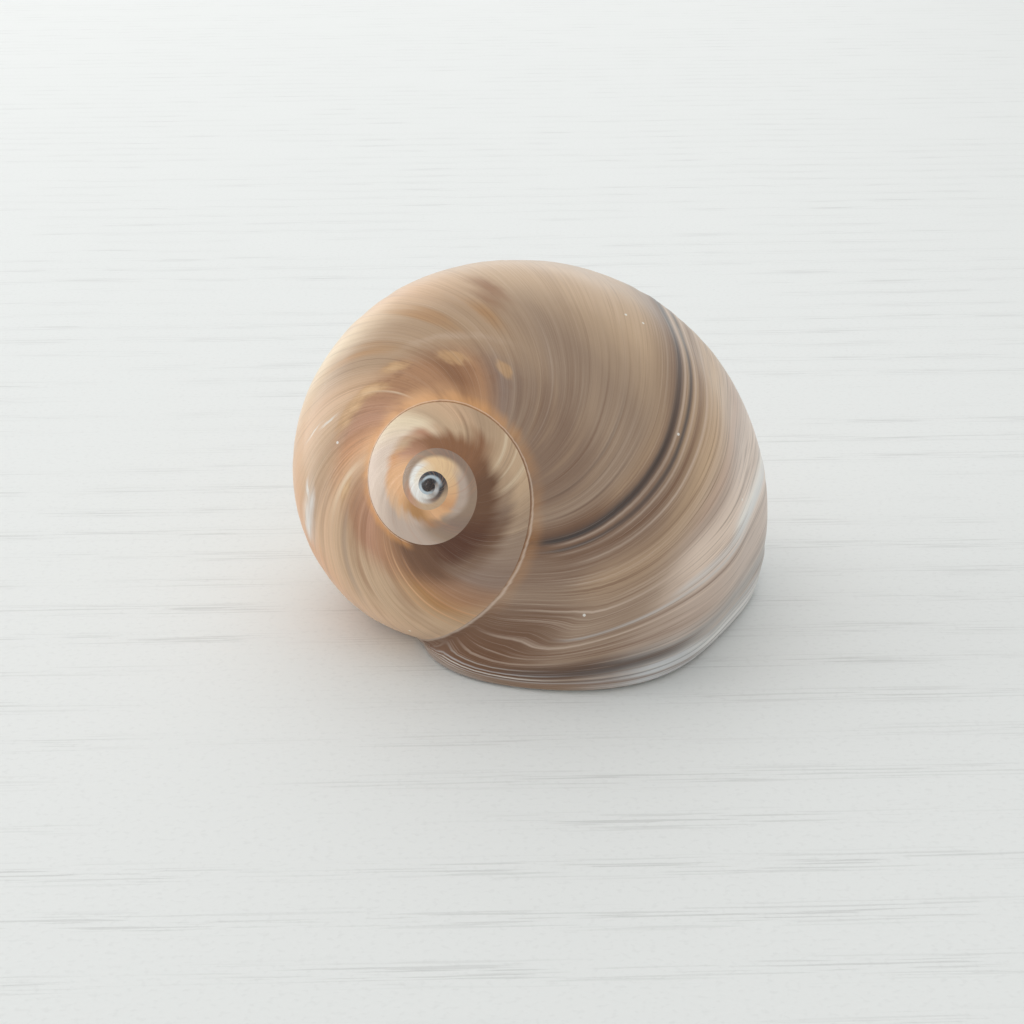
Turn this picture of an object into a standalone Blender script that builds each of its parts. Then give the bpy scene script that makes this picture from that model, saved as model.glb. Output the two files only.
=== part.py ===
# Moon snail shell, one solid: a low spire, a large last whorl and the open mouth that it rests on.
# Metres, +Z up. The shell lies on its outer lip with the spire turned to -Y and slightly to -X.

import bpy
import numpy as np
from mathutils import Euler

for old in list(bpy.data.objects):
    bpy.data.objects.remove(old)

# Driving dimensions

lip_section_radius = 0.0225     # mean radius of the whorl's cross-section at the lip
lip_section_out = 0.01885       # distance of that section's centre from the coiling axis
lip_section_down = 0.0257       # distance of that section's centre below the apex
section_harmonics = {2: (-0.016, -0.242), 3: (-0.075, 0.107), 4: (-0.015, 0.003)}   # cosine, sine
growth_per_turn = 0.594         # natural logarithm of the growth in size over one turn
growth_slowing = -0.132         # change of that growth over one turn
last_drop = 0.0075              # how far the last whorl sinks below the spiral at the lip
last_drop_angle = 0.209         # angle in radians over which that sinking fades out backwards
spire_lean_x = 0.0015           # sideways shift of the apex from the last whorl's axis
spire_lean_y = -0.0017
section_base_end = np.radians(-112)   # where the section ends at the umbilicus, from its outermost point
spire_turns = 3.5               # turns before the lip
table_turn = (-25.25, 59.43, -134.95)  # turn from the coiling axis upright to the resting place, degrees

umbilicus_bulge = 0.0042        # how far the callus that closes the umbilicus stands out at its middle
wall = 0.0017                   # thickness of the shell wall
lip_wall = 0.0011               # thickness at the lip's edge
parietal_pad = 0.0030           # how far the inner side of the hollow stands off the line of its ends
hollow_turns = 0.72             # how far the hollow runs back from the lip

hollow_top_gap = np.radians(9)     # how far the hollow stays from the suture, around the section
hollow_base_gap = np.radians(7)    # and from the base end
hollow_lip_length = 0.5            # angle in radians over which the wall reaches its full thickness
hollow_least_size = 0.7            # the wall thins no further than this share of the lip's
hollow_taper_start = 0.85          # where along the hollow its closed end begins to round off
hollow_taper_reach = 0.97          # how much of that rounding its last section has
hollow_steps = 30
hollow_arc_points = 26
hollow_arch_points = 13
steps_per_turn = 56
column_crowding = 0.55          # columns crowd towards the side where the lip's suture end lies
rows_upper = 13                 # rows from a suture down to the line where the next whorl covers it
rows_lower = 17                 # rows from that line to the base, on the last whorl
umbilicus_rings = 5
columella_points = 7            # points along the columella, from the lip's base to the umbilicus
row_crowding = 1.35             # rows crowd towards the suture
sharp_edge = np.radians(40)     # edges sharper than this are shaded as edges
shell_colour = (0.42, 0.29, 0.19, 1.0)
shell_roughness = 0.35

suture_between = (np.radians(60), np.radians(178))   # the suture lies between these, around the section
suture_samples = 400
slant_samples = 60              # places around the section where the lip's slant is worked out
slant_rounds = 30
slant_limit = 0.3               # largest change of the slant in one round, radians
small_angle = 1e-3              # for the direction of the surface
tiny_angle = 1e-4               # for its slope towards the table
least_slope = 1e-6

turn = 2 * np.pi


def scale_at(angle):
    """Size of the whorl at an angle before the lip: exponential growth that slows."""
    turns = angle / turn
    return np.exp(growth_per_turn * turns + 0.5 * growth_slowing * turns ** 2)


def section_radius(around):
    """Radius of the cross-section at an angle around it, a circle with three harmonics."""
    shape = 1.0
    for order, (cosine, sine) in section_harmonics.items():
        shape = shape + cosine * np.cos(order * around) + sine * np.sin(order * around)
    return lip_section_radius * shape


def sinking(angle):
    """Extra drop of the last part of the whorl, fading out backwards from the lip."""
    return last_drop * np.exp(angle / last_drop_angle)


def upright_point(around, angle):
    """Point of the whorl surface with the coiling axis upright and the apex at the origin."""
    size = scale_at(angle)
    radius = section_radius(around)
    out = size * (lip_section_out + radius * np.cos(around))
    height = size * (radius * np.sin(around) - lip_section_down) - sinking(angle)
    x = out * np.cos(-angle) + (1 - size) * spire_lean_x
    y = out * np.sin(-angle) + (1 - size) * spire_lean_y
    return np.stack([x, y, height], -1)


def suture_around(angle):
    """Angle around the section where a whorl meets the whorl one turn older, and the angle there."""
    around = np.linspace(*suture_between, suture_samples)
    point = upright_point(around[None, :], angle[:, None])
    older = angle - turn
    size = scale_at(older)
    shift_x = (1 - size) * spire_lean_x
    shift_y = (1 - size) * spire_lean_y
    out = (point[..., 0] - shift_x[:, None]) * np.cos(-angle)[:, None]
    out = out + (point[..., 1] - shift_y[:, None]) * np.sin(-angle)[:, None]
    across = out / size[:, None] - lip_section_out
    up = (point[..., 2] + sinking(older)[:, None]) / size[:, None] + lip_section_down
    older_around = np.arctan2(up, across)
    outside = np.hypot(across, up) - section_radius(older_around)
    first = np.maximum(np.argmax(outside < 0, axis=1), 1)
    row = np.arange(len(angle))
    before = outside[row, first - 1]
    after = outside[row, first]
    part = before / (before - after)
    meeting = around[first - 1] + part * (around[first] - around[first - 1])
    contact = older_around[row, first - 1] + part * (older_around[row, first] - older_around[row, first - 1])
    return meeting, contact


turn_matrix = np.array(Euler([np.radians(a) for a in table_turn], 'XYZ').to_matrix())
axis = turn_matrix[:, 2]
lip_meeting = suture_around(np.zeros(1))[0][0]
lip_corner = upright_point(lip_meeting, 0.0)


def placed_point(around, angle):
    """Point of the whorl surface in the resting place, before the origin is centred."""
    return (upright_point(around, angle) - lip_corner) @ turn_matrix.T


def lip_lag(around):
    """How far before the lip's suture end the whorl surface crosses the table, by Newton steps."""
    lag = np.zeros_like(around)
    for _ in range(slant_rounds):
        height = placed_point(around, -lag)[..., 2]
        slope = (placed_point(around, -lag - tiny_angle)[..., 2] - height) / tiny_angle
        slope = np.where(np.abs(slope) < least_slope, least_slope, slope)
        lag = lag - np.clip(height / slope, -slant_limit, slant_limit)
    return lag


def smooth_step(value):
    """Rises smoothly from 0 to 1 as the value does."""
    value = np.clip(value, 0, 1)
    return value * value * (3 - 2 * value)


def rest_on_table(points):
    """Flattens what would reach below the table to a flat spot on it."""
    return np.column_stack([points[:, :2], np.maximum(points[:, 2], 0.0)])


total_steps = int(round(spire_turns * steps_per_turn))
column_turn = (np.arange(total_steps + 1) - total_steps) / steps_per_turn
column_angle = turn * column_turn - column_crowding * np.sin(turn * column_turn)
column_meeting, column_contact = suture_around(column_angle)
lag_around = np.linspace(lip_meeting, section_base_end, slant_samples)
lag_value = lip_lag(lag_around)


def column_shear(angle):
    """Share of the lip's slant that a column has: none one turn back, all of it at the lip."""
    return smooth_step(1 + angle / turn)


def column_rows(index):
    """Angles around the section for one column of the grid, from its suture to the base end."""
    last = total_steps - steps_per_turn
    split = column_contact[index + steps_per_turn] if index <= last else column_contact[total_steps]
    part = np.linspace(0, 1, rows_upper + 1) ** row_crowding
    upper = column_meeting[index] + part * (split - column_meeting[index])
    lower = np.linspace(split, section_base_end, rows_lower + 1)[1:]
    return np.concatenate([upper, lower]) if index >= last else upper


def lagged_angle(around, angle):
    """Angle of each point of a column, slanted towards the lip as its growth lines are."""
    return angle - column_shear(angle) * np.interp(-around, -lag_around, lag_value)


class Surface:
    """Vertices and faces gathered for one mesh."""

    def __init__(self):
        self.points = []
        self.faces = []

    def add(self, points):
        first = len(self.points)
        self.points.extend(np.atleast_2d(points).tolist())
        return list(range(first, len(self.points)))

    def grid(self, columns):
        for left, right in zip(columns[:-1], columns[1:]):
            for a, b, c, d in zip(left[:-1], right[:-1], right[1:], left[1:]):
                self.faces.append((a, b, c, d))

    def fan(self, loop, centre):
        for a, b in zip(loop, loop[1:] + loop[:1]):
            self.faces.append((a, b, centre))

    def middle(self, loop):
        return np.mean([self.points[i] for i in loop], axis=0)

    def shares(self, chain):
        """How far along a chain each of its vertices is, from 0 to 1."""
        points = np.array([self.points[i] for i in chain])
        steps = np.linalg.norm(np.diff(points, axis=0), axis=1)
        return np.concatenate([[0], np.cumsum(steps)]) / steps.sum()

    def between(self, first, second):
        """Triangles between two chains of vertices that may differ in length."""
        first_share, second_share = self.shares(first), self.shares(second)
        i = j = 0
        while i < len(first) - 1 or j < len(second) - 1:
            if j == len(second) - 1 or (i < len(first) - 1 and first_share[i + 1] <= second_share[j + 1]):
                corners = (first[i], first[i + 1], second[j])
                i += 1
            else:
                corners = (first[i], second[j + 1], second[j])
                j += 1
            self.faces.append(corners)

    def make_object(self, name, centre):
        mesh = bpy.data.meshes.new(name)
        mesh.from_pydata((np.array(self.points) - centre).tolist(), [], self.faces)
        mesh.shade_smooth()
        mesh.set_sharp_from_angle(angle=sharp_edge)
        made = bpy.data.objects.new(name, mesh)
        bpy.context.scene.collection.objects.link(made)
        return made


def shell_material():
    material = bpy.data.materials.new("shell")
    material.use_nodes = True
    surface = material.node_tree.nodes["Principled BSDF"]
    surface.inputs["Base Color"].default_value = shell_colour
    surface.inputs["Roughness"].default_value = shell_roughness
    return material


def outer_surface():
    """The outside with the umbilicus closed, open at the mouth, and the mouth's two edges."""
    surface = Surface()
    columns = []
    last = total_steps - steps_per_turn
    for index in range(total_steps + 1):
        around = column_rows(index)
        points = placed_point(around, lagged_angle(around, column_angle[index]))
        if index < steps_per_turn:
            columns.append(surface.add(points))
        else:
            shared = columns[index - steps_per_turn][rows_upper]
            columns.append([shared] + surface.add(points[1:]))
    upper = [column[:rows_upper + 1] for column in columns]
    surface.grid(upper)
    surface.grid([column[rows_upper:] for column in columns[last:]])
    # apex
    ring = [columns[i][0] for i in range(steps_per_turn + 1)] + columns[0][rows_upper - 1:0:-1]
    surface.fan(ring[::-1], surface.add(surface.middle(ring))[0])
    # umbilicus, closed by a domed plug of callus
    base = [column[-1] for column in columns[last:]]
    part = np.linspace(0, 1, columella_points + 2)[1:-1, None]
    start, end = (np.array(surface.points[i]) for i in (base[-1], base[0]))
    columella = surface.add(start + part * (end - start))
    ring = base + columella
    rim = np.array([surface.points[i] for i in ring])
    middle = rim.mean(axis=0)
    for size in np.linspace(1, 0, umbilicus_rings + 1)[1:-1]:
        inner = surface.add(middle + (rim - middle) * size - axis * umbilicus_bulge * (1 - size ** 2))
        surface.grid([inner + inner[:1], ring + ring[:1]])
        ring = inner
    surface.fan(ring, surface.add(middle - axis * umbilicus_bulge)[0])
    mouth_inner_side = columns[last][rows_upper:] + columella[::-1] + [columns[total_steps][-1]]
    return surface, columns[total_steps], mouth_inner_side


def hollow_loop(angle, shrink):
    """Closed curve of the hollow's section: the wall's inside, then the inner side's low arch."""
    meeting, _ = suture_around(np.array([angle]))
    size = scale_at(angle)
    around = np.linspace(meeting[0] - hollow_top_gap, section_base_end + hollow_base_gap, hollow_arc_points)
    lagged = lagged_angle(around, angle)
    point = placed_point(around, lagged)
    along = placed_point(around, lagged + small_angle) - point
    down = placed_point(around - small_angle, lagged) - point
    normal = np.cross(along, down)
    normal /= np.linalg.norm(normal, axis=1)[:, None]
    thickness = lip_wall + (wall - lip_wall) * smooth_step(-angle / hollow_lip_length)
    arc = point - normal * thickness * max(size, hollow_least_size)
    part = np.linspace(0, 1, hollow_arch_points + 2)[1:-1, None]
    straight = arc[-1] + part * (arc[0] - arc[-1])
    towards = arc[len(arc) // 2] - (arc[0] + arc[-1]) / 2
    towards /= np.linalg.norm(towards)
    arch = straight + towards * parietal_pad * size * np.sin(np.pi * part)
    loop = np.concatenate([arc, arch])
    middle = loop.mean(axis=0)
    return middle + (loop - middle) * shrink


def add_hollow(surface, lip, inner_side):
    """The lip's edge, then the space inside the last whorl back to its rounded end."""
    loops = []
    for step in range(hollow_steps + 1):
        part = step / hollow_steps
        end = max(0.0, (part - hollow_taper_start) / (1 - hollow_taper_start))
        shrink = np.sqrt(1 - (hollow_taper_reach * end) ** 2)
        loops.append(surface.add(rest_on_table(hollow_loop(-part * hollow_turns * turn, shrink))))
    arc = loops[0][:hollow_arc_points]
    arch = loops[0][hollow_arc_points:]
    surface.between(arc, lip)
    surface.between(inner_side, arc[:1] + arch[::-1] + arc[-1:])
    surface.grid([loop + loop[:1] for loop in loops])
    surface.fan(loops[-1][::-1], surface.add(surface.middle(loops[-1]))[0])


body, lip, inner_side = outer_surface()
body.points = rest_on_table(np.array(body.points)).tolist()
add_hollow(body, lip, inner_side)
low = np.min(body.points, axis=0)
high = np.max(body.points, axis=0)
centre = np.array([(low[0] + high[0]) / 2, (low[1] + high[1]) / 2, 0.0])

shell = body.make_object("shell", centre)
shell.data.materials.append(shell_material())
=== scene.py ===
import bpy
import numpy as np
from mathutils import Euler, Matrix, Vector


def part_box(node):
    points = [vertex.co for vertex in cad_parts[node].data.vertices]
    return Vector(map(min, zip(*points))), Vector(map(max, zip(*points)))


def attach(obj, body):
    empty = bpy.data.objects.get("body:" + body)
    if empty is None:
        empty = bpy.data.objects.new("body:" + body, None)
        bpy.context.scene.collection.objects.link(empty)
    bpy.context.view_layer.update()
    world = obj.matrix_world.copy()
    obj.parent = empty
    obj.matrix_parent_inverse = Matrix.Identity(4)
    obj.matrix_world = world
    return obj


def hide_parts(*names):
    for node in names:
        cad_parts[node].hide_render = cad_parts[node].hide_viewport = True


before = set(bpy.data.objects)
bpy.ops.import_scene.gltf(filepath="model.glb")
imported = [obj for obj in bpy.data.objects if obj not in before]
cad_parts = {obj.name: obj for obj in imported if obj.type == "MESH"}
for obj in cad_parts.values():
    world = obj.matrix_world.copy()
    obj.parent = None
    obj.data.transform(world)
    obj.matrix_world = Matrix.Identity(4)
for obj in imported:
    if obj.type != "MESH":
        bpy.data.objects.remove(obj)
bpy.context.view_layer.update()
turn = 2 * np.pi

# what the coil is made of, as the model of the solid has it: sizes are those at the lip
coil = {
    "sectionRadius": 0.0225,      # mean radius of the whorl's cross-section
    "sectionOut": 0.01885,        # distance of its centre from the coiling axis
    "sectionDown": 0.0257,        # distance of its centre below the apex
    "harmonics": {2: (-0.016, -0.242), 3: (-0.075, 0.107), 4: (-0.015, 0.003)},     # cosine, sine
    "growth": 0.594,              # logarithm of the growth in size over one turn
    "slowing": -0.132,            # change of that growth over one turn
    "drop": 0.0075,               # sinking of the last whorl at the lip
    "dropAngle": 0.209,           # angle over which the sinking fades out backwards
    "lean": (0.0015, -0.0017),    # sideways shift of the apex
    "baseEnd": np.radians(-112),  # where the section ends at the umbilicus
    "sutureFrom": np.radians(60),     # the suture is looked for between these two angles
    "sutureTo": np.radians(178),
    "tableTurn": (-25.25, 59.43, -134.95),     # turns about X, Y and Z, in degrees, that lay it down
    "turns": 4.6,
}

# how finely the surface is drawn
fine = {
    "perTurn": 330,
    "crowding": 0.45,      # columns crowd towards the mouth's suture end
    "upper": 36,           # rows from a suture to the line that the next whorl covers
    "rowCrowding": 1.35,
    "lower": 42,           # rows from that line to the umbilicus, on the last whorl
    "columella": 12,
    "plug": 14,            # rings of the callus over the umbilicus
    "band": 7,             # rows over the lip's edge
    "hollow": 90,
    "suture": 400,         # angles tried in the search for a suture
    "lip": 90,             # places where the lip's slant is worked out
    "lipRounds": 30,
    "lipLimit": 0.3,       # longest step in one of those rounds
    "leastSlope": 1e-6,
    "leastLength": 1e-12,
    "smallAngle": 1e-3,
    "tinyAngle": 1e-4,
}

# the wall, the space inside it and the callus
body = {
    "wall": 0.0017,
    "lipWall": 0.0011,
    "lipLength": 0.5,          # angle over which the wall reaches its full thickness
    "leastSize": 0.7,
    "edgeRound": 0.0003,       # height over which the lip's edge is rounded
    "pad": 0.0030,             # how far the inner side of the space bulges into it
    "topGap": np.radians(9),
    "baseGap": np.radians(7),
    "hollowTurns": 0.72,
    "hollowFloor": 0.00015,    # least height of the space above the table
    "taperStart": 0.85,
    "taper": 0.97,
    "restBlend": 0.0014,       # height over which the underside flattens to its resting spot
    "restFade": 1.2,           # angle back from the lip over which that softness grows
    "leastBlend": 1e-6,
    "callusFrom": 0.80,        # share of the lower rows where the callus begins
    "callusAngle": 0.5,
    "callusRise": 0.0042,      # how far the callus stands out at the middle of the umbilicus
    "columellaRise": 0.0012,
    "smoothSteps": 10,
    "smoothRounds": 90,
}

# relief of the surface: growth lines follow the lip's shape at every age
relief = {
    "seed": 7,
    "waves": ((26, 0.000035), (75, 0.000022), (190, 0.000012)),   # waves per turn and height
    "marks": (        # age in turns, half width, height: rests in the growth
        (-0.212, 0.0045, -0.00010), (-0.200, 0.0035, 0.00007), (-0.186, 0.003, -0.00005),
        (-0.172, 0.003, -0.00006), (-0.075, 0.006, 0.00006), (-0.068, 0.003, -0.00005),
        (-0.026, 0.0035, -0.00010), (-0.0215, 0.0020, 0.00010), (-0.0145, 0.0018, 0.00010),
        (-0.009, 0.0014, 0.00009), (-0.0115, 0.0012, -0.00006), (-0.004, 0.0014, 0.00008),
    ),
    "tableLength": 12000,
    "margin": 0.5,              # turns added to the table of heights at both ends
    "threadWidth": 0.00018,     # the thread along the suture
    "threadHeight": 0.00006,
    "fadeWidth": 0.0006,
    "acrossEnd": np.radians(60),      # angle below the middle of the whorl where across is 1
    "straightFrom": np.radians(50),   # above this, older growth lines run straight to the suture
    "straightPower": 0.9,
    "oldAge": 0.15,             # age in turns from which lines are old in this sense
    "hook": 0.009,              # bends of the lines, in turns, with their places and reaches
    "hookFrom": -0.21,
    "hookFade": 0.14,
    "hookAcross": 0.06,
    "hookReach": 0.15,
    "bend": 0.018,
    "bendFrom": 0.28,
    "bendReach": 0.34,
    "bendAge": -0.17,
    "bendSpan": 0.10,
    "gather": 0.022,
    "gatherReach": 0.045,
    "gatherAge": -0.018,
    "gatherSpan": 0.020,
    "farBelow": -9.0,
}


def smoothStep(value):
    # 3v^2 - 2v^3 on 0..1
    value = np.clip(value, 0, 1)
    return value * value * (3 - 2 * value)


def softPeak(value, centre, half):
    # the smooth step of 1 - |value - centre| / half
    return smoothStep(1 - np.abs(value - centre) / half)


def scaleAt(angle):
    # exponential growth whose rate falls evenly with age
    turns = angle / turn
    return np.exp(coil["growth"] * turns + 0.5 * coil["slowing"] * turns ** 2)


def sectionRadius(around):
    # a circle with three harmonics
    shape = 1.0
    for order, (cosine, sine) in coil["harmonics"].items():
        shape = shape + cosine * np.cos(order * around) + sine * np.sin(order * around)
    return coil["sectionRadius"] * shape


def sinking(angle):
    # drop at the lip, fading out backwards as e^(angle / dropAngle)
    return coil["drop"] * np.exp(angle / coil["dropAngle"])


def uprightPoint(around, angle):
    # the section turned about the axis while it grows about the apex
    size = scaleAt(angle)
    radius = sectionRadius(around)
    out = size * (coil["sectionOut"] + radius * np.cos(around))
    height = size * (radius * np.sin(around) - coil["sectionDown"]) - sinking(angle)
    x = out * np.cos(angle) + (1 - size) * coil["lean"][0]
    y = -out * np.sin(angle) + (1 - size) * coil["lean"][1]
    return np.stack([x, y, height], -1)


def sutureAround(angle):
    # for each angle, the first place where the section enters the whorl one turn older
    around = np.linspace(coil["sutureFrom"], coil["sutureTo"], fine["suture"])
    point = uprightPoint(around[None, :], angle[:, None])
    older = angle[:, None] - turn
    size = scaleAt(older)
    out = (point[..., 0] - (1 - size) * coil["lean"][0]) * np.cos(angle)[:, None]
    out = out - (point[..., 1] - (1 - size) * coil["lean"][1]) * np.sin(angle)[:, None]
    across = out / size - coil["sectionOut"]
    up = (point[..., 2] + sinking(older)) / size + coil["sectionDown"]
    olderAround = np.arctan2(up, across)
    outside = np.hypot(across, up) - sectionRadius(olderAround)
    first = np.maximum(np.argmax(outside < 0, axis=1), 1)
    row = np.arange(len(angle))
    part = outside[row, first - 1] / (outside[row, first - 1] - outside[row, first])
    meeting = around[first - 1] + part * (around[first] - around[first - 1])
    contact = olderAround[row, first - 1]
    contact = contact + part * (olderAround[row, first] - contact)
    return meeting, contact


tableMatrix = np.array(Euler([np.radians(a) for a in coil["tableTurn"]], "XYZ").to_matrix())
axis = tableMatrix[:, 2]
lipMeeting = sutureAround(np.zeros(1))[0][0]
lipCorner = uprightPoint(lipMeeting, 0.0)


def placedPoint(around, angle):
    # the upright point moved so that the lip's suture end is at zero, then turned to lie down
    return (uprightPoint(around, angle) - lipCorner) @ tableMatrix.T


def outwardNormal(around, angle):
    # the point, and the unit cross product of small steps along the coil and down the section
    point = placedPoint(around, angle)
    along = placedPoint(around, angle + fine["smallAngle"]) - point
    down = placedPoint(around - fine["smallAngle"], angle) - point
    normal = np.cross(along, down)
    return point, normal / np.maximum(np.linalg.norm(normal, axis=-1), fine["leastLength"])[..., None]


def lipLag(around):
    # how far before the suture end the surface comes down to the table, by Newton steps
    lag = np.zeros_like(around)
    for _ in range(fine["lipRounds"]):
        height = placedPoint(around, -lag)[..., 2] - body["edgeRound"]
        further = placedPoint(around, -lag - fine["tinyAngle"])[..., 2] - body["edgeRound"]
        slope = (further - height) / fine["tinyAngle"]
        slope = np.where(np.abs(slope) < fine["leastSlope"], fine["leastSlope"], slope)
        lag = lag - np.clip(height / slope, -fine["lipLimit"], fine["lipLimit"])
    return lag


lagAround = np.linspace(lipMeeting, coil["baseEnd"], fine["lip"])
lagValue = np.maximum(lipLag(lagAround), 0)


def lagAt(around):
    # the lip's slant at an angle of the section, read off the line worked out above
    return np.interp(-around, -lagAround, lagValue)


def lagged(around, angle):
    # the angle less the lip's slant near the mouth, fading by a smooth step to none one turn back
    return angle - smoothStep(1 + angle / turn) * lagAt(around)


totalSteps = int(round(coil["turns"] * fine["perTurn"]))
columnTurn = (np.arange(totalSteps + 1) - totalSteps) / fine["perTurn"]
columnAngle = turn * columnTurn - fine["crowding"] * np.sin(turn * columnTurn)
columnMeeting, columnContact = sutureAround(columnAngle)


def growthAge(around, angle):
    # age in turns of the growth line through a point, and its share of the way from the suture:
    # older lines run straighter to the suture than the lip does
    meeting = np.interp(angle, columnAngle, columnMeeting)
    across = (meeting - around) / (meeting + relief["acrossEnd"])
    lipSlant = lagAt(around)
    high = (meeting - around) / (meeting - relief["straightFrom"])
    oldSlant = lagAt(relief["straightFrom"]) * np.maximum(high, 0) ** relief["straightPower"]
    oldSlant = np.where(around > relief["straightFrom"], oldSlant, lipSlant)
    old = smoothStep(-(angle + lipSlant) / turn / relief["oldAge"])
    age = (angle + lipSlant + old * (oldSlant - lipSlant)) / turn
    # by the lip they hook back below the suture and gather at its end, and a bundle bends lower down
    hook = relief["hook"] * softPeak(across, relief["hookAcross"], relief["hookReach"])
    hook = hook * smoothStep((age - relief["hookFrom"]) / relief["hookFade"])
    bend = relief["bend"] * smoothStep((across - relief["bendFrom"]) / relief["bendReach"])
    bend = bend * softPeak(age, relief["bendAge"], relief["bendSpan"])
    gather = relief["gather"] * smoothStep(1 - across / relief["gatherReach"])
    gather = gather * softPeak(age, relief["gatherAge"], relief["gatherSpan"])
    return age + hook + bend - gather, across


def waveTable():
    # sums of evenly spaced random heights, joined by straight lines
    random = np.random.default_rng(relief["seed"])
    ages = np.linspace(-coil["turns"] - relief["margin"], relief["margin"], relief["tableLength"])
    total = np.zeros_like(ages)
    for count, height in relief["waves"]:
        knots = np.arange(ages[0], ages[-1] + 1 / count, 1 / count)
        total = total + height * np.interp(ages, knots, random.normal(size=len(knots)))
    for age, half, height in relief["marks"]:
        total = total + height * np.exp(-((ages - age) / half) ** 2)
    return ages, total


waveAges, waveHeights = waveTable()


def reliefHeight(around, angle):
    # growth lines, fading out at both sutures, and a thread along them
    age, across = growthAge(around, angle)
    size = scaleAt(angle)
    reach = coil["sectionRadius"] * size
    meeting = np.interp(angle, columnAngle, columnMeeting)
    covered = np.interp(angle + turn, columnAngle, columnContact)
    covered = np.where(angle + turn < 0, covered, relief["farBelow"])
    above = (meeting - around) * reach
    below = (around - covered) * reach
    near = np.minimum(above, below)
    lines = np.interp(age, waveAges, waveHeights) * np.sqrt(size)
    lines = lines * smoothStep(near / (relief["fadeWidth"] * size))
    thread = relief["threadHeight"] * size * np.exp(-(near / (relief["threadWidth"] * size)) ** 2)
    return lines + thread


def surfacePoint(around, angle):
    # the smooth surface moved along its normal by the relief
    point, normal = outwardNormal(around, angle)
    return point + normal * reliefHeight(around, angle)[..., None]


def restOnTable(points, angle):
    # what would reach below the table is flattened on it, and within the blend's height the surface
    # bends as (height + blend)^2 / (4 blend)
    blend = body["restBlend"] * smoothStep(-angle / body["restFade"]) + body["leastBlend"]
    height = points[..., 2]
    soft = (height + blend) ** 2 / (4 * blend)
    points[..., 2] = np.where(height > blend, height, np.where(height < -blend, 0.0, soft))
    return points


def hollowLoops():
    # sections moved inwards along the normal by the wall, each closed by a sine arch on the axis side,
    # and shrunk as the root of 1 - share^2 towards the rounded end
    steps = fine["hollow"]
    part = np.arange(steps + 1) / steps
    angle = -part * body["hollowTurns"] * turn
    meeting, _ = sutureAround(angle)
    share = (columnRows[totalSteps] - lipMeeting) / (coil["baseEnd"] - lipMeeting)
    top = meeting - body["topGap"]
    around = top[:, None] + share[None, :] * (coil["baseEnd"] + body["baseGap"] - top)[:, None]
    size = scaleAt(angle)[:, None]
    point, normal = outwardNormal(around, lagged(around, angle[:, None]))
    thicker = (body["wall"] - body["lipWall"]) * smoothStep(-angle / body["lipLength"])
    thickness = (body["lipWall"] + thicker)[:, None] * np.maximum(size, body["leastSize"])
    arc = point - normal * thickness[..., None]
    across = np.linspace(0, 1, fine["lower"] + fine["columella"] + 2)[1:-1, None]
    straight = arc[:, -1:] + across * (arc[:, :1] - arc[:, -1:])
    towards = arc[:, arc.shape[1] // 2] - (arc[:, 0] + arc[:, -1]) / 2
    towards = towards / np.linalg.norm(towards, axis=-1)[:, None]
    rise = body["pad"] * size[..., None] * np.sin(np.pi * across)
    arch = straight + towards[:, None, :] * rise
    loops = np.concatenate([arc, arch], axis=1)
    end = np.maximum(0, (part - body["taperStart"]) / (1 - body["taperStart"]))
    shrink = np.sqrt(1 - (body["taper"] * end) ** 2)[:, None, None]
    middle = loops.mean(axis=1, keepdims=True)
    loops = middle + (loops - middle) * shrink
    loops[..., 2] = np.maximum(loops[..., 2], body["hollowFloor"])
    return loops, angle


def gridFaces(columns):
    # quads between neighbouring columns of vertex numbers, facing outwards
    left, right = columns[:-1], columns[1:]
    return np.stack([left[:, :-1], right[:, :-1], right[:, 1:], left[:, 1:]], -1).reshape(-1, 4)


def closed(columns):
    # each loop ends on its own first vertex
    return np.concatenate([columns, columns[:, :1]], axis=1)


def fanFaces(loop, centre):
    # triangles from each edge of a loop to one middle vertex
    return np.stack([loop, np.roll(loop, -1), np.full(len(loop), centre)], -1)


# the outside: columns run from a suture down, each sharing its first vertex with the whorl before
perTurn = fine["perTurn"]
last = totalSteps - perTurn
splitIndex = np.minimum(np.arange(totalSteps + 1) + perTurn, totalSteps)
split = columnContact[splitIndex]
rowPart = np.linspace(0, 1, fine["upper"] + 1) ** fine["rowCrowding"]
upperAround = columnMeeting[:, None] + rowPart[None, :] * (split - columnMeeting)[:, None]
lowerPart = np.linspace(0, 1, fine["lower"] + 1)[1:]
lowerAround = split[last:, None] + lowerPart[None, :] * (coil["baseEnd"] - split[last:])[:, None]
columnRows = {totalSteps: np.concatenate([upperAround[-1], lowerAround[-1]])}
upperAngle = lagged(upperAround, columnAngle[:, None])
lowerAngle = lagged(lowerAround, columnAngle[last:, None])
upperPoint = restOnTable(surfacePoint(upperAround, upperAngle), upperAngle)
lowerPoint = restOnTable(surfacePoint(lowerAround, lowerAngle), lowerAngle)
print("outside worked out:", upperPoint.shape, lowerPoint.shape)

points = []
marks = []        # age, across, callus and inside of each vertex


def addPoints(block, age, across, callus=0.0, inside=0.0):
    # appends a block of points with its marks and returns their numbers in the block's shape
    first = sum(len(b) for b in points)
    flat = block.reshape(-1, 3)
    points.append(flat)
    shape = block.shape[:-1]
    values = [np.broadcast_to(v, shape).reshape(-1) for v in (age, across, callus, inside)]
    marks.append(np.stack(values, -1))
    return first + np.arange(len(flat)).reshape(shape)


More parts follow.
